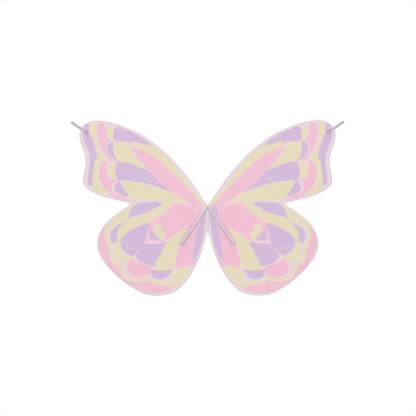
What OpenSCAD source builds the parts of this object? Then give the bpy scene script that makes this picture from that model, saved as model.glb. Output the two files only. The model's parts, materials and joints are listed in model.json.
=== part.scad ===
// Child's fabric fairy wings, worn on the back by two shoulder loops and held out by two hand loops.
// Upright: +X to the right, +Z up, and the loop side faces -Y. The origin is the top of the centre seam.

/* [Fabric layers] */
// Thickness of one printed panel
panel_t = 0.4; // [0.3:0.1:0.6]
// Thickness of the soft interlining between the panels
interlining_t = 1.2; // [1:0.1:1.6]
// Width of the overlocked edge
overlock_w = 3; // [2.5:0.1:3.5]
// How far the overlock thread stands out past the fabric, on each side and at the edge
overlock_t = 0.3; // [0.2:0.05:0.4]

/* [Centre seam] */
// Half the width of the centre seam and its tapes
seam_half_w = 6; // [5:0.25:6.25]
// Thickness of a centre tape
tape_t = 0.6; // [0.5:0.1:0.8]
// Height of the top end of the front tape, below the ends of the shoulder loops
tape_top = -19; // [-24:1:-18]
// Width of the care label
label_w = 10; // [8:1:10]
// Length of the folded care label
label_l = 34; // [25:1:40]

/* [Elastic] */
// Width of the flat elastic
elastic_w = 10; // [8:0.5:11]
// Thickness of the flat elastic
elastic_t = 1; // [0.8:0.1:1.1]
// Length of a flattened shoulder loop from the centre seam to its fold
arm_loop_l = 187; // [150:1:200]
// Angle of a shoulder loop from straight down
arm_loop_angle = 35; // [32:1:40]
// Length of a flattened hand loop from the fabric's edge to its fold
hand_loop_l = 48; // [42:1:65]
// Angle of a hand loop above level
hand_loop_angle = 34.5; // [30:0.5:38]
// Half the opening of a loop at its fold
loop_fold_r = 4.5; // [4:0.1:5]

/* [Stitches] */
// Length of a seam stitch
stitch_l = 3; // [2:0.5:3]
// Distance from one seam stitch to the next
stitch_pitch = 4; // [3.5:0.5:5]
// Width of the thread
thread_w = 0.7; // [0.5:0.1:0.8]
// How far a thread stands out, and how deep a seam stitch is sunk
thread_t = 0.3; // [0.2:0.05:0.35]

/* [Hidden] */

left = -1;
right = 1;
big = 2000;                             // larger than the whole object
curve_steps = 5;                        // straight steps between two outline points
arc_steps = 10;                         // straight steps round the fold of a loop
run_steps = 10;                         // straight steps along the curved run of a loop

stack_half = panel_t + interlining_t / 2;         // half the thickness of a wing's layers
core_half = interlining_t / 2;
wing_inner = 7.9;                       // a wing starts here, clear of the seam when it folds
seam_gap = 0.3;                         // clearance between the two shoulder loops' ends
tuck = 1;                               // the fabric stops this far inside the overlock's edge
body_gap = 0.3;                         // clearance between a loop and the face that it lies on

arm_end_w = seam_half_w - 0.7;          // half the width that the shoulder loops' ends cover together
arm_tail_end = 28.9;                    // the shoulder loop is sewn down this far from the seam
arm_hinge = 31;                         // and bends here
arm_loop_start = arm_hinge + 0.2;
hand_root = [505.8, 310];               // where a hand loop leaves the wing tip
hand_tail_l = 33;                       // elastic sewn inside the wing tip
hand_tail_t = interlining_t;            // two plies, pressed flat by the stitching
hand_loop_start = 3;                    // the free loop starts this far outside the edge
hand_box_l = 15;                        // box stitch over the tail
hand_box_w = 14;
hand_box_at = 25;                       // its centre, from the edge inwards
box_thread_w = 1.4;                     // width of a satin-stitched box's bars

// Outline of one wing as [distance from the centre, height], from the top of the seam
// up the leading edge, round the upper wing, the notch and the lower wing, and back to the seam.
wing_points = [
    [wing_inner, 12], [37, 56], [77, 112], [124, 168], [180, 224], [254, 280], [310, 308], [372, 331],
    [430, 342], [472, 338], [502, 316], [512, 286], [506, 250], [493, 212], [487, 176], [492, 144],
    [498, 112], [493, 84], [468, 62], [427, 42], [376, 28], [330, 17], [309, 9], [318, 0],
    [340, -14], [378, -42], [410, -72], [434, -112], [442, -154], [436, -184], [421, -212],
    [390, -252], [346, -294], [306, -323], [254, -350], [203, -358], [152, -350], [120, -334],
    [82, -295], [56, -252], [35, -210], [20, -168], [wing_inner, -123]
];

// A point of the Catmull-Rom curve between b and c, at t from 0 to 1
function curve_point(a, b, c, d, t) =
    0.5 * (2 * b + (c - a) * t + (2 * a - 5 * b + 4 * c - d) * t * t + (3 * b - a - 3 * c + d) * t * t * t);

// The open curve through all the points
function curve(p) = [
    for (i = [0 : len(p) - 2])
        for (k = [0 : curve_steps - 1])
            curve_point(p[max(i - 1, 0)], p[i], p[i + 1], p[min(i + 2, len(p) - 1)], k / curve_steps),
    p[len(p) - 1]
];

// The unit direction of a curve at point i, and the curve moved sideways by a distance, to its right
function heading(p, i) = let (v = p[min(i + 1, len(p) - 1)] - p[max(i - 1, 0)]) v / norm(v);
function beside(p, by) = [
    for (i = [0 : len(p) - 1])
        let (h = heading(p, i)) p[i] + by * [h[1], -h[0]]
];

// Where the line through a and b crosses the wing's inner edge
function at_inner(a, b) = [wing_inner, a[1] + (b[1] - a[1]) * (wing_inner - a[0]) / (b[0] - a[0])];

// The wing's outline moved inwards, cut off square at the inner edge
function wing_outline(in) =
    let (c = beside(curve(wing_points), in), n = len(c))
    in == 0 ? c : concat([at_inner(c[0], c[1])], c, [at_inner(c[n - 1], c[n - 2])]);

function turned(p) = [for (i = [len(p) - 1 : -1 : 0]) p[i]];

// Mirrors a right-hand piece to the left where needed
module on_side(side) {
    if (side == left) mirror([1, 0, 0]) children();
    else children();
}

// A flat shape drawn in X and Z, between two depths in Y
module sheet(points, front, back) {
    translate([0, back, 0])
        rotate([90, 0, 0])
            linear_extrude(height = back - front)
                polygon(points);
}

// Local X runs along the strap, local Y comes out of the wing towards -Y, local Z is the strap's width
module along_strap(origin, below_level) {
    translate([origin[0], 0, origin[1]])
        rotate([0, below_level, 0])
            rotate([180, 0, 0])
                children();
}

module along_arm_loop() {
    along_strap([0, 0], 90 - arm_loop_angle) children();
}

module along_hand_loop() {
    along_strap(hand_root, -hand_loop_angle) children();
}

// A block in a strap's frame: from and to along it, its width, and its lowest and highest depth
module strap_block(from, to, width, low, high) {
    translate([from, low, -width / 2])
        cube([to - from, high - low, width]);
}

// A band that follows a path in the strap's frame
module band(path) {
    side_a = beside(path, elastic_t / 2);
    side_b = beside(path, -elastic_t / 2);
    translate([0, 0, -elastic_w / 2])
        linear_extrude(height = elastic_w)
            polygon(concat(side_a, turned(side_b)));
}

// One run of a loop: it leaves the root and levels out at the fold
function run(start, end, root_n, fold_n) = [
    for (k = [0 : run_steps])
        let (t = k / run_steps)
        [start + (end - start) * t, root_n + (fold_n - root_n) * sin(90 * t)]
];

// The fold: half a turn about its centre
function fold(centre, r) = [
    for (k = [1 : arc_steps - 1])
        let (a = -90 + 180 * k / arc_steps)
        centre + r * [cos(a), sin(a)]
];

// ---- centre seam ----

seam_points = [
    [-seam_half_w, 9], [0, 0], [seam_half_w, 9],
    [seam_half_w, -115], [0, -98], [-seam_half_w, -115]
];
tape_bottom = -94;
stitch_x = seam_half_w - 2;
stitch_count = floor((tape_top - tape_bottom - stitch_l - 2) / stitch_pitch) + 1;

module centre_seam_core() {
    color([0.92, 0.85, 0.88])
        sheet(seam_points, -core_half, core_half);
}

// Four rows of seam stitches, sunk flush into the two tapes
module seam_stitches() {
    for (x = [-stitch_x, stitch_x])
        for (y = [-core_half - tape_t, core_half + tape_t - thread_t])
            for (k = [0 : stitch_count - 1])
                translate([x - thread_w / 2, y, tape_top - 2 - k * stitch_pitch - stitch_l])
                    cube([thread_w, thread_t, stitch_l]);
}

module tape(front, back) {
    color([0.90, 0.82, 0.86])
        difference() {
            translate([-seam_half_w, front, tape_bottom])
                cube([2 * seam_half_w, back - front, tape_top - tape_bottom]);
            seam_stitches();
        }
}

module centre_tape_front() {
    tape(-core_half - tape_t, -core_half);
}

module centre_tape_back() {
    tape(core_half, core_half + tape_t);
}

module centre_seam_stitching() {
    color([0.80, 0.68, 0.76])
        seam_stitches();
}

module care_label() {
    label_t = 0.6;
    label_top = tape_top - 8;
    color([0.97, 0.97, 0.96])
        translate([-label_w / 2, core_half + tape_t, label_top - label_l])
            cube([label_w, label_t, label_l]);
}

// The end of a shoulder loop on the centre seam
module arm_loop_end(side) {
    color([0.75, 0.73, 0.76])
        on_side(side)
            intersection() {
                along_arm_loop()
                    strap_block(0, 40, elastic_w, core_half, core_half + 2 * elastic_t);
                translate([seam_gap / 2, -big / 2, tape_top + seam_gap])
                    cube([arm_end_w - seam_gap / 2, big, -tape_top - 1]);
            }
}

// ---- wings ----

module hand_loop_tail_block() {
    along_hand_loop()
        strap_block(-hand_tail_l, 0.9, elastic_w, -hand_tail_t / 2, hand_tail_t / 2);
}

module front_panel(side) {
    color([0.85, 0.75, 0.86])
        on_side(side)
            sheet(wing_outline(tuck), -stack_half, -core_half);
}

module back_panel(side) {
    color([0.88, 0.80, 0.88])
        on_side(side)
            sheet(wing_outline(tuck), core_half, stack_half);
}

module interlining(side) {
    color([0.96, 0.95, 0.94])
        on_side(side)
            difference() {
                sheet(wing_outline(tuck), -core_half, core_half);
                hand_loop_tail_block();
            }
}

module edge_overlock(side) {
    full = stack_half + overlock_t;
    color([0.80, 0.70, 0.76])
        on_side(side)
            difference() {
                sheet(wing_outline(0), -full, full);
                sheet(wing_outline(overlock_w), -full - 1, full + 1);
                sheet(wing_outline(tuck), -stack_half, stack_half);
                hand_loop_tail_block();
            }
}

// The sewn end of a shoulder loop on the wing's front
module arm_loop_tail(side) {
    color([0.75, 0.73, 0.76])
        on_side(side)
            intersection() {
                along_arm_loop()
                    strap_block(0, arm_tail_end, elastic_w, stack_half, stack_half + 2 * elastic_t);
                translate([wing_inner, -big / 2, -big / 2])
                    cube(big);
            }
}

// A box stitch in a strap's frame: four bars on one face
module box_stitch(middle, length, width, bar, low, high) {
    for (end = [-1, 1])
        translate([middle + end * (length - bar) / 2, 0, 0])
            strap_block(-bar / 2, bar / 2, width, low, high);
    for (edge = [-1, 1])
        translate([0, 0, edge * (width - bar) / 2])
            strap_block(middle - length / 2 + bar, middle + length / 2 - bar, bar, low, high);
}

module arm_loop_stitching(side) {
    top = stack_half + 2 * elastic_t;
    color([0.55, 0.50, 0.56])
        on_side(side)
            along_arm_loop()
                box_stitch(22, 7, elastic_w - 2, thread_w, top, top + thread_t);
}

module hand_loop_tail(side) {
    color([0.75, 0.73, 0.76])
        on_side(side)
            hand_loop_tail_block();
}

module hand_loop_stitching(side) {
    color([0.58, 0.50, 0.60])
        on_side(side)
            along_hand_loop()
                for (low = [-stack_half - thread_t, stack_half])
                    box_stitch(-hand_box_at, hand_box_l, hand_box_w, box_thread_w, low, low + thread_t);
}

// ---- loops ----

// The lower run lies on the wing's front, and the upper run rises to the fold
module arm_loop(side) {
    low = stack_half + body_gap + elastic_t / 2;
    fold_at = arm_loop_l - elastic_t / 2 - loop_fold_r;
    path = concat(
        [[arm_loop_start, low], [(arm_loop_start + fold_at) / 2, low], [fold_at, low]],
        fold([fold_at, low + loop_fold_r], loop_fold_r),
        turned(run(arm_loop_start, fold_at, low + elastic_t + 0.2, low + 2 * loop_fold_r))
    );
    color([0.75, 0.73, 0.76])
        on_side(side)
            along_arm_loop() {
                band(path);
                strap_block(arm_loop_start, arm_loop_start + 6, elastic_w, low, low + elastic_t + 0.2);
            }
}

// Both runs part evenly from the middle of the wing's edge
module hand_loop(side) {
    fold_at = hand_loop_l - elastic_t / 2 - loop_fold_r;
    half_root = elastic_t / 2 + 0.1;
    path = concat(
        run(hand_loop_start, fold_at, -half_root, -loop_fold_r),
        fold([fold_at, 0], loop_fold_r),
        turned(run(hand_loop_start, fold_at, half_root, loop_fold_r))
    );
    color([0.75, 0.73, 0.76])
        on_side(side)
            along_hand_loop() {
                band(path);
                strap_block(hand_loop_start, hand_loop_start + 3, elastic_w, -half_root, half_root);
            }
}

centre_seam_core();
centre_tape_front();
centre_tape_back();
centre_seam_stitching();
care_label();
arm_loop_end(left);  // left_arm_loop_end
arm_loop_end(right);  // right_arm_loop_end
front_panel(left);  // left_front_panel
back_panel(left);  // left_back_panel
interlining(left);  // left_interlining
edge_overlock(left);  // left_edge_overlock
arm_loop_tail(left);  // left_arm_loop_tail
arm_loop_stitching(left);  // left_arm_loop_stitching
hand_loop_tail(left);  // left_hand_loop_tail
hand_loop_stitching(left);  // left_hand_loop_stitching
front_panel(right);  // right_front_panel
back_panel(right);  // right_back_panel
interlining(right);  // right_interlining
edge_overlock(right);  // right_edge_overlock
arm_loop_tail(right);  // right_arm_loop_tail
arm_loop_stitching(right);  // right_arm_loop_stitching
hand_loop_tail(right);  // right_hand_loop_tail
hand_loop_stitching(right);  // right_hand_loop_stitching
arm_loop(left);  // left_arm_loop
arm_loop(right);  // right_arm_loop
hand_loop(left);  // left_hand_loop
hand_loop(right);  // right_hand_loop
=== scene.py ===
# Child's fabric fairy wings, seen from the side that lies against the wearer's back.
# Metres. +X to the right, +Z up, and the loops are on the -Y side. The origin is the top of the centre seam.
import json
import math
import bpy
import numpy as np
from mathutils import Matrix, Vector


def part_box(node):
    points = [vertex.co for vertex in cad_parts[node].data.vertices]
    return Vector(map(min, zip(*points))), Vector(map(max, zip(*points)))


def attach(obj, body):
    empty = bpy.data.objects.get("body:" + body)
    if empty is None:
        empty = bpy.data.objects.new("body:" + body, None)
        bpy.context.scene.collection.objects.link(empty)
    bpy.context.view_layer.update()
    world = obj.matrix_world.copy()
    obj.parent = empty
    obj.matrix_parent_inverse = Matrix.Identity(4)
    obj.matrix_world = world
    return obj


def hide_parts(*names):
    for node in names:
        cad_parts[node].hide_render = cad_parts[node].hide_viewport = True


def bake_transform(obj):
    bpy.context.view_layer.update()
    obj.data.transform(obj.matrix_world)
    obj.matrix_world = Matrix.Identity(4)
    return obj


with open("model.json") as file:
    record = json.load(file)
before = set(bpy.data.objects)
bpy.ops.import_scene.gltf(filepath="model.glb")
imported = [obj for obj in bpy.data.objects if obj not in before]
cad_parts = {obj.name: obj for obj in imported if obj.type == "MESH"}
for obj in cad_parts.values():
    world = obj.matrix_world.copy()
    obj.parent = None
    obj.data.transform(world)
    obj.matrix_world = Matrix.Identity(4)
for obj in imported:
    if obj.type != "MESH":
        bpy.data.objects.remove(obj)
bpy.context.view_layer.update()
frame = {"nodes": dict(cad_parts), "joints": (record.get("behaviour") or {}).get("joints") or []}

mm = 0.001
right, left = 1, -1
sideNames = {right: "right", left: "left"}
down, toFront, toBack = np.array([0, 0, -1.0]), np.array([0, -1.0, 0]), np.array([0, 1.0, 0])
jointOf = {joint["name"]: joint for joint in frame["joints"]}
# where each strap leaves the cloth, and its direction on the right wing
strapJoint = jointOf["right_arm_loop_lift"]
handJoint = jointOf["right_hand_loop_bend"]
strapAlong = np.array([strapJoint["pos_m"][0], 0, strapJoint["pos_m"][2]])
strapAlong /= np.linalg.norm(strapAlong)
handAlong = np.array([abs(handJoint["axis"][2]), 0, abs(handJoint["axis"][0])])
handBend = 2.6 * mm  # the hand loop's joint, from the edge of the cloth
handRoot = np.array(handJoint["pos_m"]) - handBend * handAlong
print("frame loaded:", len(frame["nodes"]), "nodes")


# 0 before low, 1 after high, and 3t^2 - 2t^3 in between
def ease(x, low, high):
    t = np.clip((x - low) / (high - low), 0, 1)
    return t * t * (3 - 2 * t)


# Catmull-Rom curve through the points, with so many steps from each point to the next
def smoothCurve(points, steps, closed):
    p = np.asarray(points, float)
    if closed:
        a, b, c, d = np.roll(p, 1, 0), p, np.roll(p, -1, 0), np.roll(p, -2, 0)
    else:
        padded = np.vstack([p[:1], p, p[-1:]])
        a, b, c, d = padded[:-3], padded[1:-2], padded[2:-1], padded[3:]
    t = (np.arange(steps) / steps)[None, :, None]
    a, b, c, d = (x[:, None, :] for x in (a, b, c, d))
    square, cube = 2 * a - 5 * b + 4 * c - d, 3 * b - a - 3 * c + d
    curve = (0.5 * (2 * b + (c - a) * t + square * t**2 + cube * t**3)).reshape(-1, p.shape[1])
    return curve if closed else np.vstack([curve, p[-1:]])


# Length walked from the start of a line to each of its points
def walkedAlong(line):
    return np.concatenate([[0], np.cumsum(np.linalg.norm(np.diff(line, axis=0), axis=1))])


# The same line with evenly spaced points: each coordinate read off against the length walked
def evenly(line, count):
    walked = walkedAlong(line)
    stops = np.linspace(0, walked[-1], count)
    return np.stack([np.interp(stops, walked, line[:, k]) for k in range(line.shape[1])], 1), stops


# Unit direction of a line at each of its points
def headings(line):
    step = np.gradient(line, axis=0)
    return step / np.maximum(np.linalg.norm(step, axis=1, keepdims=True), 1e-12)


# Corner numbers of the quads of a grid of points, whose columns join to a ring if closed
def gridQuads(rows, columns, closed):
    i = np.arange(rows - 1)[:, None]
    j = np.arange(columns if closed else columns - 1)[None, :]
    k = (j + 1) % columns
    above, below = i * columns, (i + 1) * columns
    return np.stack([above + j, above + k, below + k, below + j], -1).reshape(-1, 4)


# Faces of a closed tube: the quads of its wall, and a strip of quads over each end
def tubeFaces(rows, columns):
    k = np.arange(columns // 2 - 1)
    cap = np.stack([k, k + 1, columns - 2 - k, columns - 1 - k], 1)
    return np.concatenate([gridQuads(rows, columns, True)[:, ::-1], cap, cap[:, ::-1] + (rows - 1) * columns])


# Makes a mesh object from points and arrays of faces; flip turns every face round
def makePiece(name, points, faceArrays, flip=False, values=None):
    mesh = bpy.data.meshes.new(name)
    faceArrays = [f[:, ::-1] if flip else f for f in faceArrays if len(f)]
    corners = np.concatenate([f.ravel() for f in faceArrays]).astype(np.int32)
    sizes = np.concatenate([np.full(len(f), f.shape[1]) for f in faceArrays])
    mesh.vertices.add(len(points))
    mesh.vertices.foreach_set("co", np.asarray(points, np.float32).ravel())
    mesh.loops.add(len(corners))
    mesh.loops.foreach_set("vertex_index", corners)
    mesh.polygons.add(len(sizes))
    mesh.polygons.foreach_set("loop_start", np.concatenate([[0], np.cumsum(sizes)[:-1]]).astype(np.int32))
    mesh.polygons.foreach_set("use_smooth", np.ones(len(sizes), bool))
    for key, value in (values or {}).items():
        mesh.attributes.new(key, "FLOAT", "POINT").data.foreach_set("value", value.astype(np.float32))
    mesh.update(calc_edges=True)
    mesh.validate()
    piece = bpy.data.objects.new(name, mesh)
    bpy.context.scene.collection.objects.link(piece)
    return piece


# A flat band carried along a path. In its own frame a point is (s along, n out of the cloth, w across):
# the cross-section is |n| = half thickness * (1 - |w|^10)^0.5, raised in a cosine for each rib.
def bandMesh(path, look):
    half = look["width"] / 2
    w = np.linspace(-1, 1, 4 * look["ribs"] + 1)
    shell = (1 - np.abs(w) ** 10) ** 0.5 * look["thickness"] / 2
    thinnest = 0.02 * mm
    shell = np.maximum(shell + look["ribHeight"] * np.cos(math.tau * look["ribs"] * (w + 1) / 2), thinnest)
    across = np.concatenate([w, w[::-1]]) * half
    out = np.concatenate([shell, -shell[::-1]])
    direction = headings(path)
    normal = np.stack([-direction[:, 1], direction[:, 0]], 1)
    s = path[:, :1] + normal[:, :1] * out
    n = path[:, 1:] + normal[:, 1:] * out
    rows, columns = s.shape
    points = np.stack([s, n, np.broadcast_to(across, s.shape)], -1).reshape(-1, 3)
    values = {"along": np.repeat(walkedAlong(path), columns), "across": np.tile(across, rows)}
    return points, [tubeFaces(rows, columns)], values


# Threads: round tubes with pointed ends, each from its start to its end and raised by lift * sin(pi t)^0.6
def threadMesh(starts, ends, lift, radius, rings=5, sides=6):
    count = len(starts)
    t = np.linspace(0, 1, rings)[None, :, None]
    line = starts[:, None] + (ends - starts)[:, None] * t + lift[:, None] * np.sin(np.pi * t) ** 0.6
    along = (ends - starts) / np.linalg.norm(ends - starts, axis=1, keepdims=True)
    up = lift / np.linalg.norm(lift, axis=1, keepdims=True)
    side = np.cross(along, up)
    angle = np.arange(sides) / sides * math.tau
    ring = up[:, None] * np.cos(angle)[None, :, None] + side[:, None] * np.sin(angle)[None, :, None]
    points = (line[:, :, None] + ring[:, None] * radius).reshape(count, rings * sides, 3)
    tips = np.stack([starts - along * radius, ends + along * radius], 1)
    points = np.concatenate([points, tips], 1)
    each = rings * sides + 2
    k = np.arange(sides)
    following = (k + 1) % sides
    startFan = np.stack([np.full(sides, each - 2), k, following], 1)
    last = (rings - 1) * sides
    endFan = np.stack([np.full(sides, each - 1), last + following, last + k], 1)
    offset = (np.arange(count) * each)[:, None, None]
    quads = (gridQuads(rings, sides, True)[None, :, ::-1] + offset).reshape(-1, 4)
    fans = (np.concatenate([startFan, endFan])[None] + offset).reshape(-1, 3)
    return points.reshape(-1, 3), [quads, fans]


# A colour given from 0 to 255, as the linear value that a shader takes
def linear(red, green, blue):
    c = np.array([red, green, blue]) / 255
    c = np.where(c <= 0.04045, c / 12.92, ((c + 0.055) / 1.055) ** 2.4)
    return (*c, 1.0)


# A material's node tree, with a short call for each kind of node that the cloth needs
class Shader:
    def __init__(self, name, roughness, sheen, specular=0.3):
        self.material = bpy.data.materials.new(name)
        self.material.use_nodes = True
        self.tree = self.material.node_tree
        self.surface = self.tree.nodes["Principled BSDF"]
        self.surface.inputs["Roughness"].default_value = roughness
        self.surface.inputs["Sheen Weight"].default_value = sheen
        self.surface.inputs["Sheen Roughness"].default_value = 0.45
        self.surface.inputs["Specular IOR Level"].default_value = specular

    # Links a socket, or sets it to a number or to a colour given from 0 to 255
    def put(self, socket, value):
        if isinstance(value, bpy.types.NodeSocket):
            self.tree.links.new(value, socket)
        else:
            socket.default_value = linear(*value) if isinstance(value, tuple) else value

    def math(self, operation, *values):
        node = self.tree.nodes.new("ShaderNodeMath")
        node.operation = operation
        for socket, value in zip(node.inputs, values):
            self.put(socket, value)
        return node.outputs[0]

    def times(self, first, second):
        return self.math("MULTIPLY", first, second)

    # start below low, end above high, smooth in between
    def ramp(self, value, low, high, start=0.0, end=1.0):
        node = self.tree.nodes.new("ShaderNodeMapRange")
        node.interpolation_type = "SMOOTHSTEP"
        for socket, number in zip(node.inputs, (value, low, high, start, end)):
            self.put(socket, number)
        return node.outputs[0]

    def mix(self, share, first, second, how="MIX"):
        node = self.tree.nodes.new("ShaderNodeMix")
        node.data_type = "RGBA"
        node.blend_type = how
        self.put(node.inputs[0], share)
        self.put(node.inputs[6], first)
        self.put(node.inputs[7], second)
        return node.outputs[2]

    def value(self, key):
        node = self.tree.nodes.new("ShaderNodeAttribute")
        node.attribute_name = key
        return node.outputs["Fac"]

    def place(self):
        return self.tree.nodes.new("ShaderNodeTexCoord").outputs["Object"]

    def axes(self, place):
        node = self.tree.nodes.new("ShaderNodeSeparateXYZ")
        self.put(node.inputs[0], place)
        return node.outputs

    def noise(self, place, scale, detail=3.0):
        node = self.tree.nodes.new("ShaderNodeTexNoise")
        self.put(node.inputs["Vector"], place)
        node.inputs["Scale"].default_value = scale
        node.inputs["Detail"].default_value = detail
        return node.outputs[0]

    # Plain weave: sin(a) times sin(b), from 0 to 1, one thread in each half turn
    def weave(self, a, b, threadA, threadB):
        waveA = self.math("SINE", self.times(a, math.pi / threadA))
        waveB = self.math("SINE", self.times(b, math.pi / threadB))
        return self.math("MULTIPLY_ADD", self.times(waveA, waveB), 0.5, 0.5)

    def bump(self, height, strength, distance):
        node = self.tree.nodes.new("ShaderNodeBump")
        node.inputs["Strength"].default_value = strength
        node.inputs["Distance"].default_value = distance
        self.put(node.inputs["Height"], height)
        self.put(self.surface.inputs["Normal"], node.outputs[0])

    def colour(self, value):
        self.put(self.surface.inputs["Base Color"], value)


ink = {
    "ground": (233, 216, 221),
    "lilac": (211, 185, 219),
    "cream": (231, 221, 187),
    "pink": (243, 190, 211),
    "fleck": (238, 228, 230),
    # whitish colour of the painted glints
    "paintedGlint": (246, 240, 244),
    "tail": (172, 163, 170),
    # colour of the painted shade between the threads
    "weaveShade": (150, 128, 145),
}
printShares = {"cloud": 0.1, "fleck": 0.42, "paintedGlint": 0.66, "tail": 0.62, "weaveShade": 0.05}
printLook = {
    "edgeSoftness": 0.35,  # mm, half the width of a printed edge
    "bleed": 0.7,  # mm, how far the ink wanders into the cloth
    "spread": 1.0,  # mm, how far every cell has grown in printing
    "vein": 0.6,  # mm of ground round a lilac or cream cell that lies on a pink one
    "thread": 0.42 * mm,
    "glintRadius": (1.5 * mm, 5.4 * mm),  # of its full part and of its faint edge
    # places of the painted glints, in mm
    "glints": [(320, -166), (244, 112), (127, -193), (161, -314), (433, 95), (42, -14), (150, -26)],
    "tailFrom": (-15 * mm, -12 * mm),  # along the hand loop, from the edge of the cloth
    "tailEdge": (4.6 * mm, 5.4 * mm),  # and beside its middle
}


# Small round spots of painted glint, the whitish highlights of glitter, one at each glint's place, the same on
# both wings
def paintedGlintSpots(look, aside, z):
    spots = None
    for u, height in printLook["glints"]:
        du = look.math("SUBTRACT", aside, u * mm)
        dz = look.math("SUBTRACT", z, height * mm)
        far = look.math("SQRT", look.math("ADD", look.times(du, du), look.times(dz, dz)))
        spot = look.ramp(far, *printLook["glintRadius"], 1.0, 0.0)
        spots = spot if spots is None else look.math("MAXIMUM", spots, spot)
    return spots


# Where the grey elastic sewn inside the tip shows through the thin cloth, near the edge
def tailThrough(look, aside, z):
    du = look.math("SUBTRACT", aside, handRoot[0])
    dz = look.math("SUBTRACT", z, handRoot[2])
    ahead, up = handAlong[0], handAlong[2]
    along = look.math("ADD", look.times(du, ahead), look.times(dz, up))
    across = look.math("ABSOLUTE", look.math("SUBTRACT", look.times(dz, ahead), look.times(du, up)))
    inward = look.ramp(along, *printLook["tailFrom"])
    return look.times(inward, look.ramp(across, *printLook["tailEdge"], 1.0, 0.0))


# Printed satin: the ground, then pink, cream and lilac wherever the cloth lies inside a cell of that colour
def printedCloth(name, wash, roughness, sheen):
    look = Shader(name, roughness, sheen)
    place = look.place()
    x, y, z = look.axes(place)
    bleed, soft, vein = printLook["bleed"], printLook["edgeSoftness"], printLook["vein"]
    wander = look.math("MULTIPLY_ADD", look.noise(place, 700, 2.0), bleed, printLook["spread"] - bleed / 2)
    depth = {}
    for colour in ("lilac", "cream", "pink"):
        inside = look.math("MAXIMUM", look.value(colour + "A"), look.value(colour + "B"))
        depth[colour] = look.math("ADD", inside, wander)
    beside = look.math("MAXIMUM", depth["lilac"], depth["cream"])
    clear = look.ramp(beside, -vein - soft, -vein + soft, 1.0, 0.0)
    pinkShare = look.times(look.ramp(depth["pink"], -soft, soft), clear)
    cloth = look.mix(pinkShare, ink["ground"], ink["pink"])
    cloth = look.mix(look.ramp(depth["cream"], -soft, soft), cloth, ink["cream"])
    cloth = look.mix(look.ramp(depth["lilac"], -soft, soft), cloth, ink["lilac"])
    # uneven ink, and pale foil flecks scattered over the pink
    cloudy = look.ramp(look.noise(place, 26, 4.0), 0.3, 0.7)
    cloth = look.mix(look.times(cloudy, printShares["cloud"]), cloth, ink["ground"])
    flecks = look.ramp(look.noise(place, 150, 1.0), 0.62, 0.7)
    flecks = look.times(look.times(flecks, pinkShare), printShares["fleck"])
    cloth = look.mix(flecks, cloth, ink["fleck"])
    aside = look.math("ABSOLUTE", x)
    # painted glints: whitish highlight spots laid into the print
    cloth = look.mix(look.times(paintedGlintSpots(look, aside, z), printShares["paintedGlint"]), cloth, ink["paintedGlint"])
    cloth = look.mix(wash, cloth, ink["ground"])
    cloth = look.mix(look.times(tailThrough(look, aside, z), printShares["tail"]), cloth, ink["tail"])
    # a fine chequer of painted shade over the weave, as if shade lay between the threads
    woven = look.weave(x, z, printLook["thread"], printLook["thread"])
    look.colour(look.mix(look.times(woven, printShares["weaveShade"]), cloth, ink["weaveShade"]))
    look.bump(look.math("ADD", woven, look.times(look.noise(place, 90, 3.0), 0.6)), 0.35, 0.12 * mm)
    return look.material


# Twisted thread: fine slanting strands from a wave over the place
def threadFinish(name, colour, dark, strand=0.35 * mm):
    look = Shader(name, 0.55, 0.15)
    place = look.place()
    x, y, z = look.axes(place)
    slant = look.math("ADD", look.math("ADD", x, z), look.times(y, 1.6))
    strands = look.math("SINE", look.times(slant, math.tau / strand))
    strands = look.math("MULTIPLY_ADD", strands, 0.5, 0.5)
    cloudy = look.ramp(look.noise(place, 160, 3.0), 0.25, 0.75)
    tint = look.mix(look.times(cloudy, 0.5), colour, dark)
    tint = look.mix(look.times(strands, 0.22), tint, dark)
    look.colour(tint)
    look.bump(strands, 0.3, 0.05 * mm)
    return look.material


# colour of the painted shadows on the bands: along one edge of the shoulder straps and along the lap of the
# seam tapes
paintedShadowColour = (180, 165, 178)
# shares of each darkening of a band; those of the rib valleys, the edge and the lap are painted shade
bandShares = {"valleyShade": 0.3, "weave": 0.18, "cloud": 0.12, "edge": 0.75, "lap": 0.6}
paintedEdgeShadowWidth = 1.2 * mm
# the dark line at a lap is a painted shadow
paintedLapShade = (0.3 * mm, 1.0 * mm)  # half the width of a lap's dark line, full and faint


# Woven or knitted band, from its own lengths: one thread across it every pitch, and its ribs rib apart.
# One edge of a band can get a painted shadow, from so far across the band, and a lap can get a painted shadow
# line. The valleys between the ribs are painted darker as shade
def bandFinish(name, colour, dark, pitch, rib, roughness=0.6, sheen=0.15, shadowEdgeFrom=None, lapShadowAt=None):
    look = Shader(name, roughness, sheen)
    place = look.place()
    along, across = look.value("along"), look.value("across")
    woven = look.weave(along, across, pitch, rib)
    # painted shade: darker in the valleys between the ribs
    valleyShade = look.math("MULTIPLY_ADD", look.math("COSINE", look.times(across, math.tau / rib)), -0.5, 0.5)
    cloudy = look.ramp(look.noise(place, 120, 3.0), 0.3, 0.7)
    tint = colour
    for share, pattern in (("valleyShade", valleyShade), ("weave", woven), ("cloud", cloudy)):
        tint = look.mix(look.times(pattern, bandShares[share]), tint, dark)
    if shadowEdgeFrom:
        # painted shadow along one edge of the band, the inner, lower edge of a shoulder strap
        paintedShadow = look.ramp(across, shadowEdgeFrom, shadowEdgeFrom + paintedEdgeShadowWidth)
        tint = look.mix(look.times(paintedShadow, bandShares["edge"]), tint, paintedShadowColour)
    # painted shadow line along the lap
    if lapShadowAt:
        off = look.math("ABSOLUTE", look.math("SUBTRACT", across, lapShadowAt))
        tint = look.mix(look.ramp(off, *paintedLapShade, bandShares["lap"], 0.0), tint, paintedShadowColour)
    look.colour(tint)
    look.bump(woven, 0.45, 0.12 * mm)
    return look.material


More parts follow.
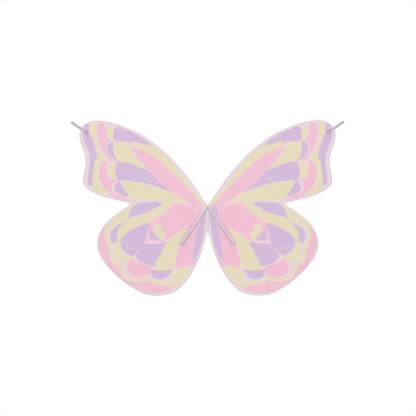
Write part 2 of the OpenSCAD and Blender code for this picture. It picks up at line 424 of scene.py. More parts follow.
# Felted layer: tangled fibres from two noises
def feltFinish(name, colour, dark):
    look = Shader(name, 0.85, 0.2)
    place = look.place()
    fibres = look.noise(place, 900, 5.0)
    look.colour(look.mix(look.ramp(fibres, 0.3, 0.75), colour, dark))
    look.bump(look.math("ADD", fibres, look.noise(place, 250, 2.0)), 0.5, 0.2 * mm)
    return look.material


frontCloth = printedCloth("printedFrontSatin", 0.0, 0.58, 0.1)
backCloth = printedCloth("printedBackSatin", 0.12, 0.62, 0.1)
interliningFelt = feltFinish("interliningFelt", (245, 242, 240), (222, 216, 216))
rimThread = threadFinish("rimThread", (221, 204, 212), (203, 186, 197))
seamThread = threadFinish("seamThread", (216, 198, 208), (180, 158, 172))
boxThread = threadFinish("boxThread", (190, 171, 199), (156, 137, 169))
strapThread = threadFinish("strapThread", (196, 186, 196), (150, 138, 150))
lapAt = -1.9 * mm  # where the front cloth laps, across the seam tapes
# the seam tapes get a painted shadow line along the lap
tapeCloth = bandFinish("seamTapeCloth", (236, 219, 225), (212, 192, 203), 0.9 * mm, 1.2 * mm, lapShadowAt=lapAt)
elasticPitch, elasticRib = 1.1 * mm, 1.0 * mm
# the shoulder straps get a painted shadow along their inner, lower edge
shoulderElastic = bandFinish(
    "shoulderElastic", (228, 219, 227), (198, 185, 197), elasticPitch, elasticRib, shadowEdgeFrom=1.5 * mm)
handElastic = bandFinish("handElastic", (198, 193, 198), (138, 132, 138), elasticPitch, elasticRib)
labelCloth = bandFinish("labelCloth", (246, 245, 243), (220, 217, 216), 0.35 * mm, 0.3 * mm, 0.4, 0.1)
print("materials made")


# Wings: every layer of a wing has the same outline and the same relief
wing = {
    "pole": (0.154, 0.046),        # a point that sees the whole outline
    "edgePoints": 580,             # round the free edge
    "centrePoints": 40,            # down the centre line
    "rings": 66,
    "spread": 0.86,  # below 1 the rings crowd towards the rim
    "drape": 1.3 * mm,             # soft waves over the whole wing
    "pucker": 0.4 * mm,            # gathering by the overlock stitch
    "puckerReach": 13 * mm,
    "puckerWave": 19 * mm,
    "calm": (12 * mm, 75 * mm),    # from the centre: flat before the first, full waves after the second
    "strapClear": (14 * mm, 55 * mm),
    "strapReach": 0.19,
    "tipClear": (34 * mm / 3, 70 * mm),
    "tipReach": 30 * mm,
}
felt = {"rings": 24, "centrePoints": 12, "every": 4, "foldAt": 11.5 * mm, "inset": 1.2 * mm, "gap": 0.02 * mm}
panelGap = 0.01 * mm

panelLow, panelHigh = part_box("right_front_panel")
frontFace, feltFace = -panelLow.y, -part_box("right_interlining")[0].y
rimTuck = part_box("right_edge_overlock")[1].x - panelHigh.x


def nodePoints(node):
    return np.array([v.co for v in frame["nodes"][node].data.vertices])


# How far a CAD node reaches along a direction from a place
def reachOf(node, origin, direction):
    return ((nodePoints(node) - origin) @ direction).max()


# The right wing's free edge as (distance from the centre, height), from the seam's top round to its foot: the
# panel's own corners in order of their angle about the pole, smoothed, and carried on to the centre line
def wingEdge():
    points = np.unique(nodePoints("right_front_panel")[:, [0, 2]].round(6), axis=0)
    pole = np.array(wing["pole"])
    angle = np.arctan2(*(points - pole).T[::-1])
    same = 0.01 * mm
    inner = points[np.abs(points[:, 0] - panelLow.x) < same]
    top = inner[inner[:, 1].argmax()]
    first = np.arctan2(*(top - pole)[::-1])
    order = np.argsort((first - angle + 1e-6) % math.tau)
    edge = smoothCurve(points[order], 3, False)
    core = nodePoints("centre_seam_core")
    middle = core[np.abs(core[:, 0]) < same][:, 2]
    footGap = 0.4 * mm
    whole = [[0, middle.max() + rimTuck], *edge, [0, middle.min() + footGap]]
    return evenly(np.array(whole), wing["edgePoints"])


edgeLine, edgeLength = wingEdge()


# Distance from points to the segment between a and b
def fromSegment(u, z, a, b):
    a, b = np.array(a), np.array(b)
    t = np.clip(((u - a[0]) * (b - a)[0] + (z - a[1]) * (b - a)[1]) / ((b - a) @ (b - a)), 0, 1)
    return np.hypot(u - a[0] - t * (b - a)[0], z - a[1] - t * (b - a)[1])


# How far the cloth stands off its flat plane: two slow sine waves, and puckers along the rim that die away as
# exp(-(distance / reach)^2). Both fade to nothing at the seam, under the shoulder strap and at the hand loop.
def relief(u, z, fromRim, alongRim, side):
    shift = 0.0 if side == right else 1.7
    slow = np.sin(u * 41 + z * 23 + shift) + 0.7 * np.sin(u * 19 - z * 47 + 2.1 + shift)
    wave = math.tau * alongRim / wing["puckerWave"]
    quick = np.sin(wave + 1.4 * np.sin(alongRim * 37 + shift)) * (0.7 + 0.3 * np.sin(alongRim * 91 + shift))
    reach = np.exp(-(fromRim / wing["puckerReach"]) ** 2)
    strapEnd = wing["strapReach"] * strapAlong
    tipEnd = handRoot - wing["tipReach"] * handAlong
    calm = ease(u, *wing["calm"])
    calm = calm * ease(fromSegment(u, z, (0, 0), (strapEnd[0], strapEnd[2])), *wing["strapClear"])
    atTip = fromSegment(u, z, (handRoot[0], handRoot[2]), (tipEnd[0], tipEnd[2]))
    calm = calm * ease(atTip, *wing["tipClear"])
    return calm * (wing["drape"] * slow + wing["pucker"] * quick * reach)


# A layer of a wing: point(s, t) = pole + (outline(s) - pole) * t^spread, closed along the centre line
def layerGrid(edge, lengths, rings, centreSteps):
    centre = np.linspace(edge[-1], edge[0], centreSteps + 2)[1:-1]
    outline = np.vstack([edge, centre])[::-1]
    alongRim = np.concatenate([lengths, np.full(centreSteps, lengths[-1])])[::-1]
    t = (np.arange(1, rings + 1) / rings)[:, None] ** wing["spread"]
    pole = np.array(wing["pole"])
    ray = outline - pole
    u = pole[0] + ray[:, 0] * t
    z = pole[1] + ray[:, 1] * t
    fromRim = np.linalg.norm(ray, axis=1) * (1 - t)
    poleFromRim = 0.3
    u, z, fromRim = (np.append(x.ravel(), p) for x, p in ((u, pole[0]), (z, pole[1]), (fromRim, poleFromRim)))
    alongRim = np.append(np.tile(alongRim, rings), 0)
    count = len(outline)
    quads = gridQuads(rings, count, True)
    k = np.arange(count)
    fan = np.stack([np.full(count, rings * count), k, (k + 1) % count], 1)
    return u, z, fromRim, alongRim, [quads[:, ::-1], fan]


# Print cells of one wing as (distance from the centre, height) in mm, each one a smooth closed curve. A corner
# is a point given twice. Where two cells of a colour touch, one is in that colour's set A and one in set B.
printCells = {
    "outerStrip": ("lilacA", [(475, 326), (482, 330), (492, 318), (498, 280), (478, 228), (469, 176),
        (479, 113), (472, 84), (462, 92), (459, 150), (452, 178), (443, 206), (460, 262), (473, 300)]),
    "outerBand": ("creamA", [(472, 329), (472, 329), (444, 331), (444, 331), (446, 315), (446, 260),
        (423, 210), (407, 193), (428, 178), (439, 140), (436, 100), (430, 85), (405, 60), (396, 51),
        (415, 49), (455, 66), (466, 76), (459, 90), (456, 150), (442, 194), (443, 223), (470, 302)]),
    "upperScallop": ("pinkA", [(440, 320), (420, 335), (408, 310), (405, 290), (398, 272), (392, 262),
        (400, 255), (408, 225), (388, 190), (380, 182), (392, 183), (412, 212), (432, 250), (440, 290)]),
    "lowerScallop": ("pinkA", [(410, 182), (425, 170), (433, 150), (432, 105), (415, 75), (392, 55),
        (385, 45), (370, 35), (340, 27), (290, 22), (320, 30), (360, 45), (383, 62), (382, 90), (365, 103),
        (385, 105), (402, 122), (406, 160), (403, 175)]),
    "upperTooth": ("creamA", [(398, 315), (385, 320), (376, 312), (378, 290), (378, 265), (382, 262),
        (390, 270), (400, 300)]),
    "upperFang": ("lilacA", [(392, 252), (402, 228), (388, 200), (362, 182), (368, 192), (378, 220),
        (379, 255)]),
    "lowerTooth": ("creamA", [(385, 178), (368, 178), (366, 165), (370, 145), (369, 130), (362, 108),
        (375, 112), (388, 115), (396, 125), (399, 140), (396, 155)]),
    "lowerFang": ("lilacA", [(360, 98), (350, 96), (346, 85), (328, 55), (318, 40), (345, 45), (368, 62),
        (372, 75)]),
    "topPlume": ("lilacA", [(368, 314), (355, 318), (340, 310), (280, 284), (240, 256), (228, 246),
        (245, 247), (285, 256), (303, 260), (310, 247), (318, 258), (345, 261), (365, 262), (373, 265),
        (376, 285), (374, 305)]),
    "upperPlume": ("creamA", [(370, 257), (350, 256), (330, 254), (318, 250), (303, 225), (295, 205),
        (262, 163), (247, 150), (265, 152), (300, 168), (340, 178), (356, 181), (366, 198), (377, 235),
        (376, 250)]),
    "leadingBand": ("creamA", [(306, 257), (291, 262), (250, 254), (215, 237), (183, 210), (147, 173),
        (46, 50), (21, 14), (12, 6), (35, 18), (65, 58), (125, 118), (195, 185), (250, 220), (285, 234),
        (301, 246)]),
    "longFeather": ("pinkA", [(305, 240), (305, 240), (294, 214), (255, 166), (170, 83), (130, 52),
        (105, 28), (70, 8), (30, -1), (14, 3), (14, 3), (36, 18), (86, 79), (195, 184), (252, 221),
        (287, 235)]),
    "longLilac": ("lilacA", [(358, 176), (340, 175), (320, 172), (245, 146), (232, 140), (226, 128),
        (202, 108), (190, 94), (160, 70), (140, 61), (160, 64), (250, 92), (330, 104), (355, 104),
        (361, 110), (368, 140), (363, 168)]),
    "longCream": ("creamB", [(346, 95), (320, 97), (260, 92), (165, 62), (132, 50), (120, 38), (95, 22),
        (80, 12), (95, 14), (180, 25), (265, 27), (310, 36), (320, 42), (330, 56), (344, 86)]),
    "notchLilac": ("lilacA", [(285, 8), (265, 12), (215, 16), (190, 15), (182, 12), (195, 2), (250, -27),
        (305, -42), (318, -48), (316, -35), (300, -4)]),
    "notchCream": ("creamA", [(305, 8), (330, -10), (385, -58), (390, -65), (385, -80), (375, -82),
        (360, -74), (322, -50), (318, -36), (298, 2)]),
    "hookBand": ("creamA", [(352, -85), (340, -68), (325, -60), (318, -50), (300, -44), (255, -32),
        (235, -22), (198, 0), (175, 16), (148, 18), (142, 12), (148, 2), (205, -48), (285, -82),
        (340, -122), (352, -135), (350, -160), (340, -180), (325, -192), (305, -200), (320, -218),
        (335, -224), (350, -222), (362, -212), (368, -195), (368, -158), (362, -145), (360, -130),
        (362, -110)]),
    "crescent": ("lilacA", [(325, -58), (370, -85), (388, -108), (386, -140), (378, -147), (368, -145),
        (363, -135), (364, -118), (358, -92), (340, -70)]),
    "rimPink": ("pinkA", [(408, -75), (427, -105), (434, -130), (430, -177), (405, -227), (365, -273),
        (330, -301), (268, -335), (215, -348), (168, -341), (138, -326), (165, -316), (182, -316),
        (205, -312), (245, -298), (262, -302), (290, -302), (318, -297), (334, -288), (343, -276),
        (356, -246), (374, -233), (391, -191), (394, -167), (408, -135), (411, -115)]),
    "fanLilac": ("lilacA", [(345, -130), (320, -105), (265, -76), (245, -70), (235, -66), (232, -75),
        (240, -90), (252, -145), (255, -158), (285, -183), (295, -195), (305, -197), (335, -177),
        (350, -145)]),
    "wedgeLilac": ("lilacB", [(245, -152), (200, -150), (172, -145), (170, -152), (180, -170), (210, -228),
        (218, -240), (228, -238), (262, -225), (278, -212), (288, -200), (278, -185), (250, -158)]),
    "beanLilac": ("lilacA", [(228, -95), (215, -110), (195, -130), (215, -133), (228, -132), (232, -125)]),
    "bean": ("creamA", [(218, -85), (212, -75), (200, -72), (190, -78), (188, -92), (182, -100),
        (172, -105), (168, -115), (172, -127), (183, -131), (195, -127), (213, -100)]),
    "bodyPink": ("pinkB", [(235, -68), (195, -40), (160, -8), (138, 8), (100, 8), (42, -5), (26, -10),
        (27, -24), (50, -60), (60, -78), (95, -90), (105, -98), (120, -105), (165, -135), (180, -137),
        (225, -138), (240, -140), (240, -120), (235, -85)]),
    "bodyCream": ("creamB", [(82, -78), (85, -92), (118, -160), (135, -235), (155, -255), (200, -255),
        (213, -248), (208, -232), (178, -168), (155, -135), (92, -88)]),
    "innerPink": ("pinkA", [(86, -82), (93, -98), (108, -140), (126, -215), (130, -240), (125, -250),
        (110, -253), (80, -235), (62, -240), (50, -232), (42, -215), (45, -205), (58, -217), (62, -205),
        (57, -160), (43, -90), (46, -72), (58, -68)]),
    "innerLilac": ("lilacA", [(12, -10), (8, -40), (20, -125), (34, -175), (42, -195), (62, -214),
        (60, -200), (50, -135), (36, -75), (22, -45), (15, -25)]),
    "innerCream": ("creamA", [(72, -262), (92, -288), (105, -297), (122, -300), (138, -292), (147, -278),
        (135, -258), (100, -247), (78, -236)]),
    "lowerShell": ("lilacA", [(222, -255), (185, -260), (150, -255), (143, -258), (150, -268), (170, -286),
        (190, -291), (210, -288), (222, -278), (227, -265)]),
    "lowerPinkShell": ("pinkA", [(300, -212), (290, -222), (258, -232), (232, -245), (225, -255),
        (228, -265), (265, -285), (305, -277), (318, -265), (322, -235), (308, -213)]),
}
rightOnly = {
    "patchLilac": ("lilacB", [
        (15, -4), (15, -4), (36, -1), (36, -1), (39, -14), (39, -38), (30, -36), (20, -20)]),
}
# the scalloped band: its middle line, and its width at each point of that
scallopLine = [
    (398, -66), (403, -95), (405, -125), (397, -150), (389, -170), (386, -195), (377, -222),
    (358, -236), (345, -252), (339, -272), (326, -287), (300, -294), (268, -297), (245, -290),
    (222, -297), (200, -307), (172, -307), (150, -311), (132, -315), (117, -313)]
scallopWidth = [8, 10, 12, 12, 11, 11, 11, 12, 13, 12, 12, 11, 11, 11, 12, 13, 14, 17, 18, 18]


def scallopCell():
    line = smoothCurve(scallopLine, 4, False)
    share = np.linspace(0, len(scallopWidth) - 1, len(line))
    half = np.interp(share, np.arange(len(scallopWidth)), scallopWidth)[:, None] / 2
    ahead = headings(line)
    beside = np.stack([ahead[:, 1], -ahead[:, 0]], 1) * half
    return np.vstack([line + beside, (line - beside)[::-1]])


# Depth in millimetres inside a closed outline: the distance to its nearest edge, below 0 outside
def depthInside(points, outline):
    a, b = outline, np.roll(outline, -1, 0)
    edge = b - a
    long = np.maximum((edge ** 2).sum(1), 1e-9)
    off = points[:, None, :] - a
    t = np.clip((off * edge).sum(2) / long, 0, 1)
    distance = np.sqrt(((off - edge * t[..., None]) ** 2).sum(2)).min(1)
    crosses = (a[:, 1] > points[:, 1:]) != (b[:, 1] > points[:, 1:])
    rise = np.where(np.abs(edge[:, 1]) < 1e-9, 1e-9, edge[:, 1])
    meets = a[:, 0] + (points[:, 1:] - a[:, 1]) * edge[:, 0] / rise
    inside = (crosses & (points[:, :1] < meets)).sum(1) % 2 == 1
    return np.where(inside, distance, -distance)


# For each colour set, the greatest depth over its cells, clipped a little way outside them
def printDepths(u, z, side):
    farOutside = -14.0
    points = np.stack([u, z], 1) / mm
    sets = [colour + group for colour in ("lilac", "cream", "pink") for group in "AB"]
    depths = {key: np.full(len(points), farOutside) for key in sets}
    cells = dict(printCells, **(rightOnly if side == right else {}))
    outlines = [(key, smoothCurve(corners, 6, True)) for key, corners in cells.values()]
    outlines.append(("creamB", scallopCell()))
    for key, outline in outlines:
        low, high = outline.min(0) + farOutside, outline.max(0) - farOutside
        near = np.all((points > low) & (points < high), axis=1)
        found = np.clip(depthInside(points[near], outline), farOutside, -farOutside)
        depths[key][near] = np.maximum(depths[key][near], found)
    return depths


# What every piece gets: its material, and the CAD nodes that it stands for are hidden. The record's slot is
# not used
def finishPiece(piece, material, slot, *nodes):
    piece.data.materials.append(material)
    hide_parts(*nodes)


# Bakes a piece's place into its mesh
def foldWithWing(piece):
    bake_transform(piece)


def thicken(piece, thickness):
    wall = piece.modifiers.new("thickness", "SOLIDIFY")
    wall.thickness = thickness
    wall.offset = -1


def makePanels(side):
    u, z, fromRim, alongRim, faces = layerGrid(edgeLine, edgeLength, wing["rings"], wing["centrePoints"])
    offPlane = relief(u, z, fromRim, alongRim, side)
    depths = printDepths(u, z, side)
    name = sideNames[side]
    for face, back in (("front", False), ("back", True)):
        points = np.stack([side * u, offPlane + (frontFace if back else -frontFace), z], 1)
        turned = back == (side == right)
        piece = makePiece(name + face.capitalize() + "Cloth", points, faces, flip=turned, values=depths)
        thicken(piece, frontFace - feltFace - panelGap)
        finishPiece(piece, backCloth if back else frontCloth, "printed_" + face, f"{name}_{face}_panel")
        foldWithWing(piece)


# The interlining stops short of the rim and of the fold
def makeInterlining(side):
    edge, lengths = edgeLine[::felt["every"]], edgeLength[::felt["every"]]
    edge = np.stack([np.maximum(edge[:, 0], felt["foldAt"]), edge[:, 1]], 1)
    pole = np.array(wing["pole"])
    ray = edge - pole
    edge = pole + ray * (1 - felt["inset"] / np.linalg.norm(ray, axis=1, keepdims=True))
    u, z, fromRim, alongRim, faces = layerGrid(edge, lengths, felt["rings"], felt["centrePoints"])
    half = feltFace - felt["gap"]
    points = np.stack([side * u, relief(u, z, fromRim, alongRim, side) - half, z], 1)
    name = sideNames[side]
    piece = makePiece(name + "Interlining", points, faces, flip=side == left)
    thicken(piece, 2 * half)
    finishPiece(piece, interliningFelt, "interlining", name + "_interlining")
    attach(piece, name + "_wing")


# Overlock: a bead round the rim whose section is a rounded loop, swelling once for each turn of the thread.
# With turn = |sin(pi * length / pitch + slant * cos a)|, a point lies inwards by half the width times
# 1 - cos a * (0.96 + 0.04 turn), and out by half the height times |sin a|^0.75 * (1 - swell + swell * turn)
rimLook = {
    "pitch": 1.9 * mm, "samples": 4, "section": 14, "swell": 0.16, "slant": 0.5,
    "halfWidth": 1.5 * mm, "fromCentre": 0.05 * mm,
}


def makeRim(side):
    rim, lengths = evenly(edgeLine, int(edgeLength[-1] / rimLook["pitch"] * rimLook["samples"]))
    ahead = headings(rim)
    inward = np.stack([ahead[:, 1], -ahead[:, 0]], 1)
    a = np.arange(rimLook["section"]) / rimLook["section"] * math.tau
    halfHeight = reachOf("right_edge_overlock", np.zeros(3), toBack)
    halfWidth, swell = rimLook["halfWidth"], rimLook["swell"]
    turn = np.abs(np.sin(math.pi * lengths[:, None] / rimLook["pitch"] + rimLook["slant"] * np.cos(a)))
    sine = np.sign(np.sin(a)) * np.abs(np.sin(a)) ** 0.75
    inwards = halfWidth - rimTuck - halfWidth * np.cos(a) * (0.96 + 0.04 * turn)
    out = halfHeight * sine * (1 - swell + swell * turn)
    u = np.maximum(rim[:, :1] + inward[:, :1] * inwards, rimLook["fromCentre"])
    z = rim[:, 1:] + inward[:, 1:] * inwards
    offPlane = relief(u, z, np.maximum(inwards, 0), lengths[:, None], side)
    points = np.stack([side * u, out + offPlane, z], -1).reshape(-1, 3)
    name = sideNames[side]
    piece = makePiece(name + "Overlock", points, [tubeFaces(*u.shape)[:, ::-1]], flip=side == left)
    finishPiece(piece, rimThread, "overlock_thread", name + "_edge_overlock")
    foldWithWing(piece)


for side in (right, left):
    makeInterlining(side)
    makePanels(side)
    makeRim(side)
    print(sideNames[side], "wing made")


# Centre seam: two tapes, two rows of stitches through each, and a blank folded label behind
seam = {
    "rows": 200, "crossRib": 1.6 * mm, "crossRibHeight": 0.03 * mm,
    "stitch": 3 * mm, "pitch": 4 * mm, "row": 4 * mm, "thread": 0.3 * mm, "sink": 0.1 * mm, "rise": 0.16 * mm,
    "lap": 0.22 * mm, "lapWidth": 0.3 * mm,
}
label = {"ply": 0.25 * mm, "turn": 0.55 * mm, "gap": 0.2 * mm, "wave": 0.05 * mm}
labelRibs = {"ribs": 2, "ribHeight": 0.004 * mm}
tapeRibs = {"ribs": 8, "ribHeight": 0.03 * mm}


# Points given as (s, n, w) in a band's frame, moved to the object's frame, and mirrored for the left side
def placeBand(points, origin, along, out, side=right):
    across = np.cross(along, out)
    moved = origin + points[:, :1] * along + points[:, 1:2] * out + points[:, 2:] * across
    moved[:, 0] *= side
    return moved


# Half a turn of a folded band, without its ends: s = at + length * cos a, n = middle + height * sin a
def halfTurn(at, middle, length, height, count):
    a = np.linspace(-math.pi / 2, math.pi / 2, count)[1:-1]
    return np.stack([at + length * np.cos(a), middle + height * np.sin(a)], 1)


# A finished piece from a mesh in a band's own frame, whose place is its origin, its direction and the way out
def bandPiece(name, mesh, place, side, material, slot, *nodes):
    points, faces, *values = mesh
    piece = makePiece(name, placeBand(points, *place, side), faces, side == left, *values)
    finishPiece(piece, material, slot, *nodes)
    return piece


def makeTape(name, node, out):
    low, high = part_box(node)
    width, thickness, long = high.x - low.x, high.y - low.y, high.z - low.z
    middle = max(abs(low.y), abs(high.y)) - thickness / 2
    s = np.linspace(0, long, seam["rows"])
    n = middle + seam["crossRibHeight"] * np.sin(math.tau * s / seam["crossRib"])
    look = {"width": width, "thickness": thickness, **tapeRibs}
    points, faces, values = bandMesh(np.stack([s, n], 1), look)
    # the cloth laps over itself along a line beside the middle, a small step on the outer face
    outer = points[:, 1] > middle
    points[outer, 1] += seam["lap"] * (ease(points[outer, 2], lapAt - seam["lapWidth"], lapAt) - 0.5)
    place = (np.array([0, 0, high.z]), down, out)
    piece = bandPiece(name, (points, faces, values), place, right, tapeCloth, "seam_tape", node)
    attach(piece, "spine")


def makeSeamStitches():
    low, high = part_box("centre_seam_stitching")
    count = int((high.z - low.z) / seam["pitch"]) + 1
    tops = high.z - np.arange(count) * seam["pitch"]
    starts, lifts = [], []
    for y, out in ((low.y, -1), (high.y, 1)):
        for x in (-seam["row"], seam["row"]):
            starts.append(np.stack([np.full(count, x), np.full(count, y - out * seam["sink"]), tops], 1))
            lifts.append(np.tile([0, out * seam["rise"], 0], (count, 1)))
    starts = np.vstack(starts)
    points, faces = threadMesh(starts, starts + down * seam["stitch"], np.vstack(lifts), seam["thread"])
    piece = makePiece("seamStitches", points, faces)
    finishPiece(piece, seamThread, "thread", "centre_seam_stitching")
    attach(piece, "spine")


# The label: down from its sewn end in a faint wave, round a soft fold, and back up over itself
def makeLabel():
    low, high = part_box("care_label")
    width, long = high.x - low.x, high.z - low.z
    s = np.linspace(0, long - label["turn"], 60)
    inner = low.y + label["gap"] + label["wave"] * np.sin(s / long * 9)
    outer = inner + 2 * label["turn"] * ease(s, 0, 0.5 * long) + label["ply"]
    middle = (inner[-1] + outer[-1]) / 2
    fold = halfTurn(s[-1], middle, label["turn"], outer[-1] - middle, 14)
    path = np.vstack([np.stack([s, inner], 1), fold, np.stack([s, outer], 1)[::-1]])
    mesh = bandMesh(path, {"width": width, "thickness": label["ply"], **labelRibs})
    place = (np.array([0, 0, high.z]), down, toBack)
    piece = bandPiece("careLabelCloth", mesh, place, right, labelCloth, "label_satin", "care_label")
    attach(piece, "spine")


makeTape("frontTape", "centre_tape_front", toFront)
makeTape("backTape", "centre_tape_back", toBack)
makeSeamStitches()
makeLabel()
core = frame["nodes"]["centre_seam_core"]
core.data.materials.clear()
core.data.materials.append(interliningFelt)
print("seam made")


# Elastic: ribbed band, 10 mm wide. Each shoulder strap is a sewn end of two plies and a flattened loop.
elastic = {"width": 10 * mm, "thickness": 0.96 * mm, "ribs": 10, "ribHeight": 0.07 * mm}
strap = {
    "sewnTo": 28.9 * mm,  # the two plies are sewn down this far from the seam
    "fromCentre": 0.1 * mm,  # and start here
    "foldRadius": 3.4 * mm,
    "plies": (1.5 * mm, 2.5 * mm), # height of each ply's middle over the wing's middle
    "freeHeight": 1.8 * mm,  # and of the lower run where it lies loose
    "bend": (29.4 * mm, 33.0 * mm),
    "bendHeight": 2.4 * mm,
    "box": (7 * mm, 7.4 * mm), "boxAt": 22 * mm,
    "stitches": 5, "rise": 0.3 * mm, "thread": 0.25 * mm, "sink": 0.05 * mm,
}
foldPoints = 26


# A flattened loop as (s, n): out along the lower run, half a turn of the fold radius, and back along the
# upper run, which rises as a quarter sine
def loopPath(start, end, lowRoot, lowRun, highRoot, radius, steps):
    foldAt = end - elastic["thickness"] / 2 - radius
    s = np.linspace(start, foldAt, steps)
    t = (s - start) / (foldAt - start)
    lower = lowRoot + (lowRun - lowRoot) * ease(s, start, start + 5 * mm)
    upper = highRoot + (lowRun + 2 * radius - highRoot) * np.sin(t * math.pi / 2)
    fold = halfTurn(foldAt, lowRun + radius, radius, radius, foldPoints)
    return np.vstack([np.stack([s, lower], 1), fold, np.stack([s, upper], 1)[::-1]])


def makeShoulderStrap(side):
    name = sideNames[side]
    place = (np.zeros(3), strapAlong, toFront)
    # the sewn end, cut off square at the centre line where it meets the other strap
    s = np.linspace(-1 * mm, strap["sewnTo"], 50)
    plies = [bandMesh(np.stack([s, np.full(len(s), height)], 1), elastic) for height in strap["plies"]]
    points = placeBand(np.vstack([ply[0] for ply in plies]), *place)
    points[:, 0] = np.maximum(points[:, 0], strap["fromCentre"]) * side
    faces = [plies[0][1][0], plies[1][1][0] + len(plies[0][0])]
    values = {key: np.concatenate([ply[2][key] for ply in plies]) for key in ("along", "across")}
    end = makePiece(name + "ShoulderStrapEnd", points, faces, flip=side == left, values=values)
    finishPiece(end, shoulderElastic, "elastic", name + "_arm_loop_tail", name + "_arm_loop_end")
    foldWithWing(end)
    # the loop, from the sewn end to its fold and back
    tip = reachOf("right_arm_loop", *place[:2])
    low, high = strap["plies"]
    path = loopPath(strap["sewnTo"], tip, low, strap["freeHeight"], high, strap["foldRadius"], 130)
    mesh, node = bandMesh(path, elastic), name + "_arm_loop"
    loop = bandPiece(name + "ShoulderStrapLoop", mesh, place, side, shoulderElastic, "elastic", node)
    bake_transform(loop)
    # box stitch through the sewn end
    corners = np.array([[-1, -1], [1, -1], [1, 1], [-1, 1]]) * np.array(strap["box"]) / 2
    corners[:, 0] += strap["boxAt"]
    mesh = stitchBox(corners, high + elastic["thickness"] / 2 - strap["sink"])
    node = name + "_arm_loop_stitching"
    box = bandPiece(name + "ShoulderStrapStitches", mesh, place, side, strapThread, "thread", node)
    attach(box, name + "_wing")


# Running stitches along the four sides of a box, in a band's frame
def stitchBox(corners, height):
    perSide = strap["stitches"]
    gap = 0.12 / perSide
    k = np.arange(perSide)[:, None] / perSide
    sides = list(zip(corners, np.roll(corners, -1, 0)))
    starts = np.vstack([a + (b - a) * (k + gap) for a, b in sides])
    ends = np.vstack([a + (b - a) * (k + 1 / perSide - gap) for a, b in sides])
    starts, ends = (np.insert(points, 1, height, axis=1) for points in (starts, ends))
    return threadMesh(starts, ends, np.tile([0, strap["rise"], 0], (len(starts), 1)), strap["thread"])


hand = {
    "tail": 33 * mm, "foldRadius": 4.5 * mm, "bend": (0.9 * mm, 4.6 * mm),
    "ply": 0.3 * mm, "partBy": 0.25 * mm, "pressed": 0.55 / 0.86,
    "box": (15 * mm, 14 * mm), "boxAt": 25 * mm, "bar": 3.0 * mm,
    "thread": 0.4 * mm, "sink": 0.02 * mm, "rise": 0.2 * mm,
}
handPlace = (handRoot, handAlong, toFront)


# Hand loop: both runs part evenly from the middle of the cloth, and run on inside as the sewn tail
def makeHandLoop(side):
    name = sideNames[side]
    radius = hand["foldRadius"]
    foldAt = reachOf("right_hand_loop", handRoot, handAlong) - elastic["thickness"] / 2 - radius
    s = np.linspace(-hand["tail"], foldAt, 110)
    t = np.clip((s - 1 * mm) / (foldAt - 1 * mm), 0, 1)
    root = hand["ply"] + hand["partBy"] * ease(s, 0, 4 * mm)
    n = root + (radius - root) * np.sin(t * math.pi / 2)
    fold = halfTurn(foldAt, 0, radius, radius, foldPoints)
    path = np.vstack([np.stack([s, -n], 1), fold, np.stack([s, n], 1)[::-1]])
    points, faces, values = bandMesh(path, elastic)
    points[points[:, 0] < 0, 1] *= hand["pressed"]         # inside the cloth the two plies are pressed flat
    mesh, nodes = (points, faces, values), (name + "_hand_loop", name + "_hand_loop_tail")
    piece = bandPiece(name + "HandLoop", mesh, handPlace, side, handElastic, "elastic", *nodes)
    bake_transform(piece)


# Satin-stitched box over the tail: threads laid side by side across each of its four bars, on both faces
def makeHandBox(side):
    name = sideNames[side]
    long, wide = hand["box"]
    bar, pitch = hand["bar"], hand["thread"]
    w = np.arange(-wide / 2 + pitch / 2, wide / 2, pitch)
    s = np.arange(-long / 2 + bar, long / 2 - bar, pitch)
    starts, ends, lifts = [], [], []
    for face in (1, -1):
        height = face * (frontFace - hand["sink"])
        for end in (-1, 1):
            starts.append(np.stack([np.full(len(w), end * long / 2), np.full(len(w), height), w], 1))
            ends.append(starts[-1] - np.array([end * bar, 0, 0]))
            starts.append(np.stack([s, np.full(len(s), height), np.full(len(s), end * wide / 2)], 1))
            ends.append(starts[-1] - np.array([0, 0, end * bar]))
            lifts.append(np.tile([0, face * hand["rise"], 0], (len(w) + len(s), 1)))
    at = np.array([hand["boxAt"], 0, 0])
    mesh = threadMesh(np.vstack(starts) - at, np.vstack(ends) - at, np.vstack(lifts), pitch * 0.52)
    node = name + "_hand_loop_stitching"
    piece = bandPiece(name + "HandBoxStitch", mesh, handPlace, side, boxThread, "thread", node)
    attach(piece, name + "_wing")


for side in (right, left):
    makeShoulderStrap(side)
    makeHandLoop(side)
    makeHandBox(side)
print("straps made")


# Floor, light and camera
studio = {
    "floor": -1.3, "floorRadius": 4.2, "floorCorners": 96, "ambient": 0.73,
    "distance": 8.0, "seen": 1.664, "roll": 0.1, "aim": (0.0014, 0.0, -0.0076),     # the roll is in degrees
}
lights = {
    "keyLight": {"place": (-0.5, -5.4, 3.0), "size": 2.0, "power": 99.0},
    "fillLight": {"place": (2.0, 4.2, 3.0), "size": 2.4, "power": 62.0},
}


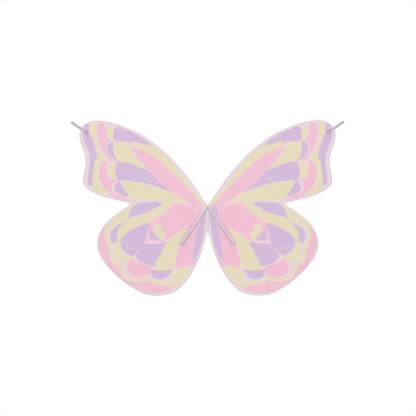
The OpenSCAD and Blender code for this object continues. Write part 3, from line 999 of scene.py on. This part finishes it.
def makeFloor():
    corners = studio["floorCorners"]
    a = np.arange(corners) / corners * math.tau
    ring = np.stack([np.cos(a), np.sin(a), 0 * a], 1) * studio["floorRadius"]
    points = np.vstack([ring * 0.5, ring]) + [0, 0, studio["floor"]]
    middle = len(points)
    points = np.vstack([points, [0, 0, studio["floor"]]])
    k = np.arange(corners)
    fan = np.stack([np.full(corners, middle), k, (k + 1) % corners], 1)
    floor = makePiece("paleFloor", points, [gridQuads(2, corners, True)[:, ::-1], fan])
    look = Shader("paleFloorPaint", 0.9, 0.0, 0.1)
    look.colour(look.mix(look.noise(look.place(), 3, 2.0), (250, 249, 248), (244, 243, 242)))
    floor.data.materials.append(look.material)


# A round lamp, turned to the origin
def makeLight(name, place, size, power):
    light = bpy.data.lights.new(name, "AREA")
    light.shape = "DISK"
    light.size = size
    light.energy = power
    lamp = bpy.data.objects.new(name, light)
    lamp.location = place
    lamp.rotation_euler = (-Vector(place)).to_track_quat("-Z", "Y").to_euler()
    bpy.context.scene.collection.objects.link(lamp)


def makeStudio():
    scene = bpy.context.scene
    makeFloor()
    for name, settings in lights.items():
        makeLight(name, **settings)
    scene.world = bpy.data.worlds.new("paleStudio")
    scene.world.use_nodes = True
    tree = scene.world.node_tree
    soft, white = tree.nodes["Background"], tree.nodes.new("ShaderNodeBackground")
    for glow, strength in ((soft, studio["ambient"]), (white, 1.0)):
        glow.inputs["Color"].default_value = (1, 1, 1, 1)
        glow.inputs["Strength"].default_value = strength
    path = tree.nodes.new("ShaderNodeLightPath")
    both = tree.nodes.new("ShaderNodeMixShader")
    tree.links.new(path.outputs["Is Camera Ray"], both.inputs[0])
    tree.links.new(soft.outputs[0], both.inputs[1])
    tree.links.new(white.outputs[0], both.inputs[2])
    tree.links.new(both.outputs[0], tree.nodes["World Output"].inputs["Surface"])
    scene.view_settings.view_transform = "Standard"
    camera = bpy.data.cameras.new("camera")
    camera.sensor_width = 36
    camera.lens = 36 * studio["distance"] / studio["seen"]
    camera.clip_end = 100
    eye = bpy.data.objects.new("camera", camera)
    x, y, z = studio["aim"]
    eye.location = (x, y - studio["distance"], z)
    eye.rotation_mode = "XYZ"
    level = Matrix.Rotation(math.pi / 2, 4, "X")
    roll = Matrix.Rotation(-math.radians(studio["roll"]), 4, "Z")
    eye.rotation_euler = (level @ roll).to_euler()
    scene.collection.objects.link(eye)
    scene.camera = eye


makeStudio()
print("studio made")
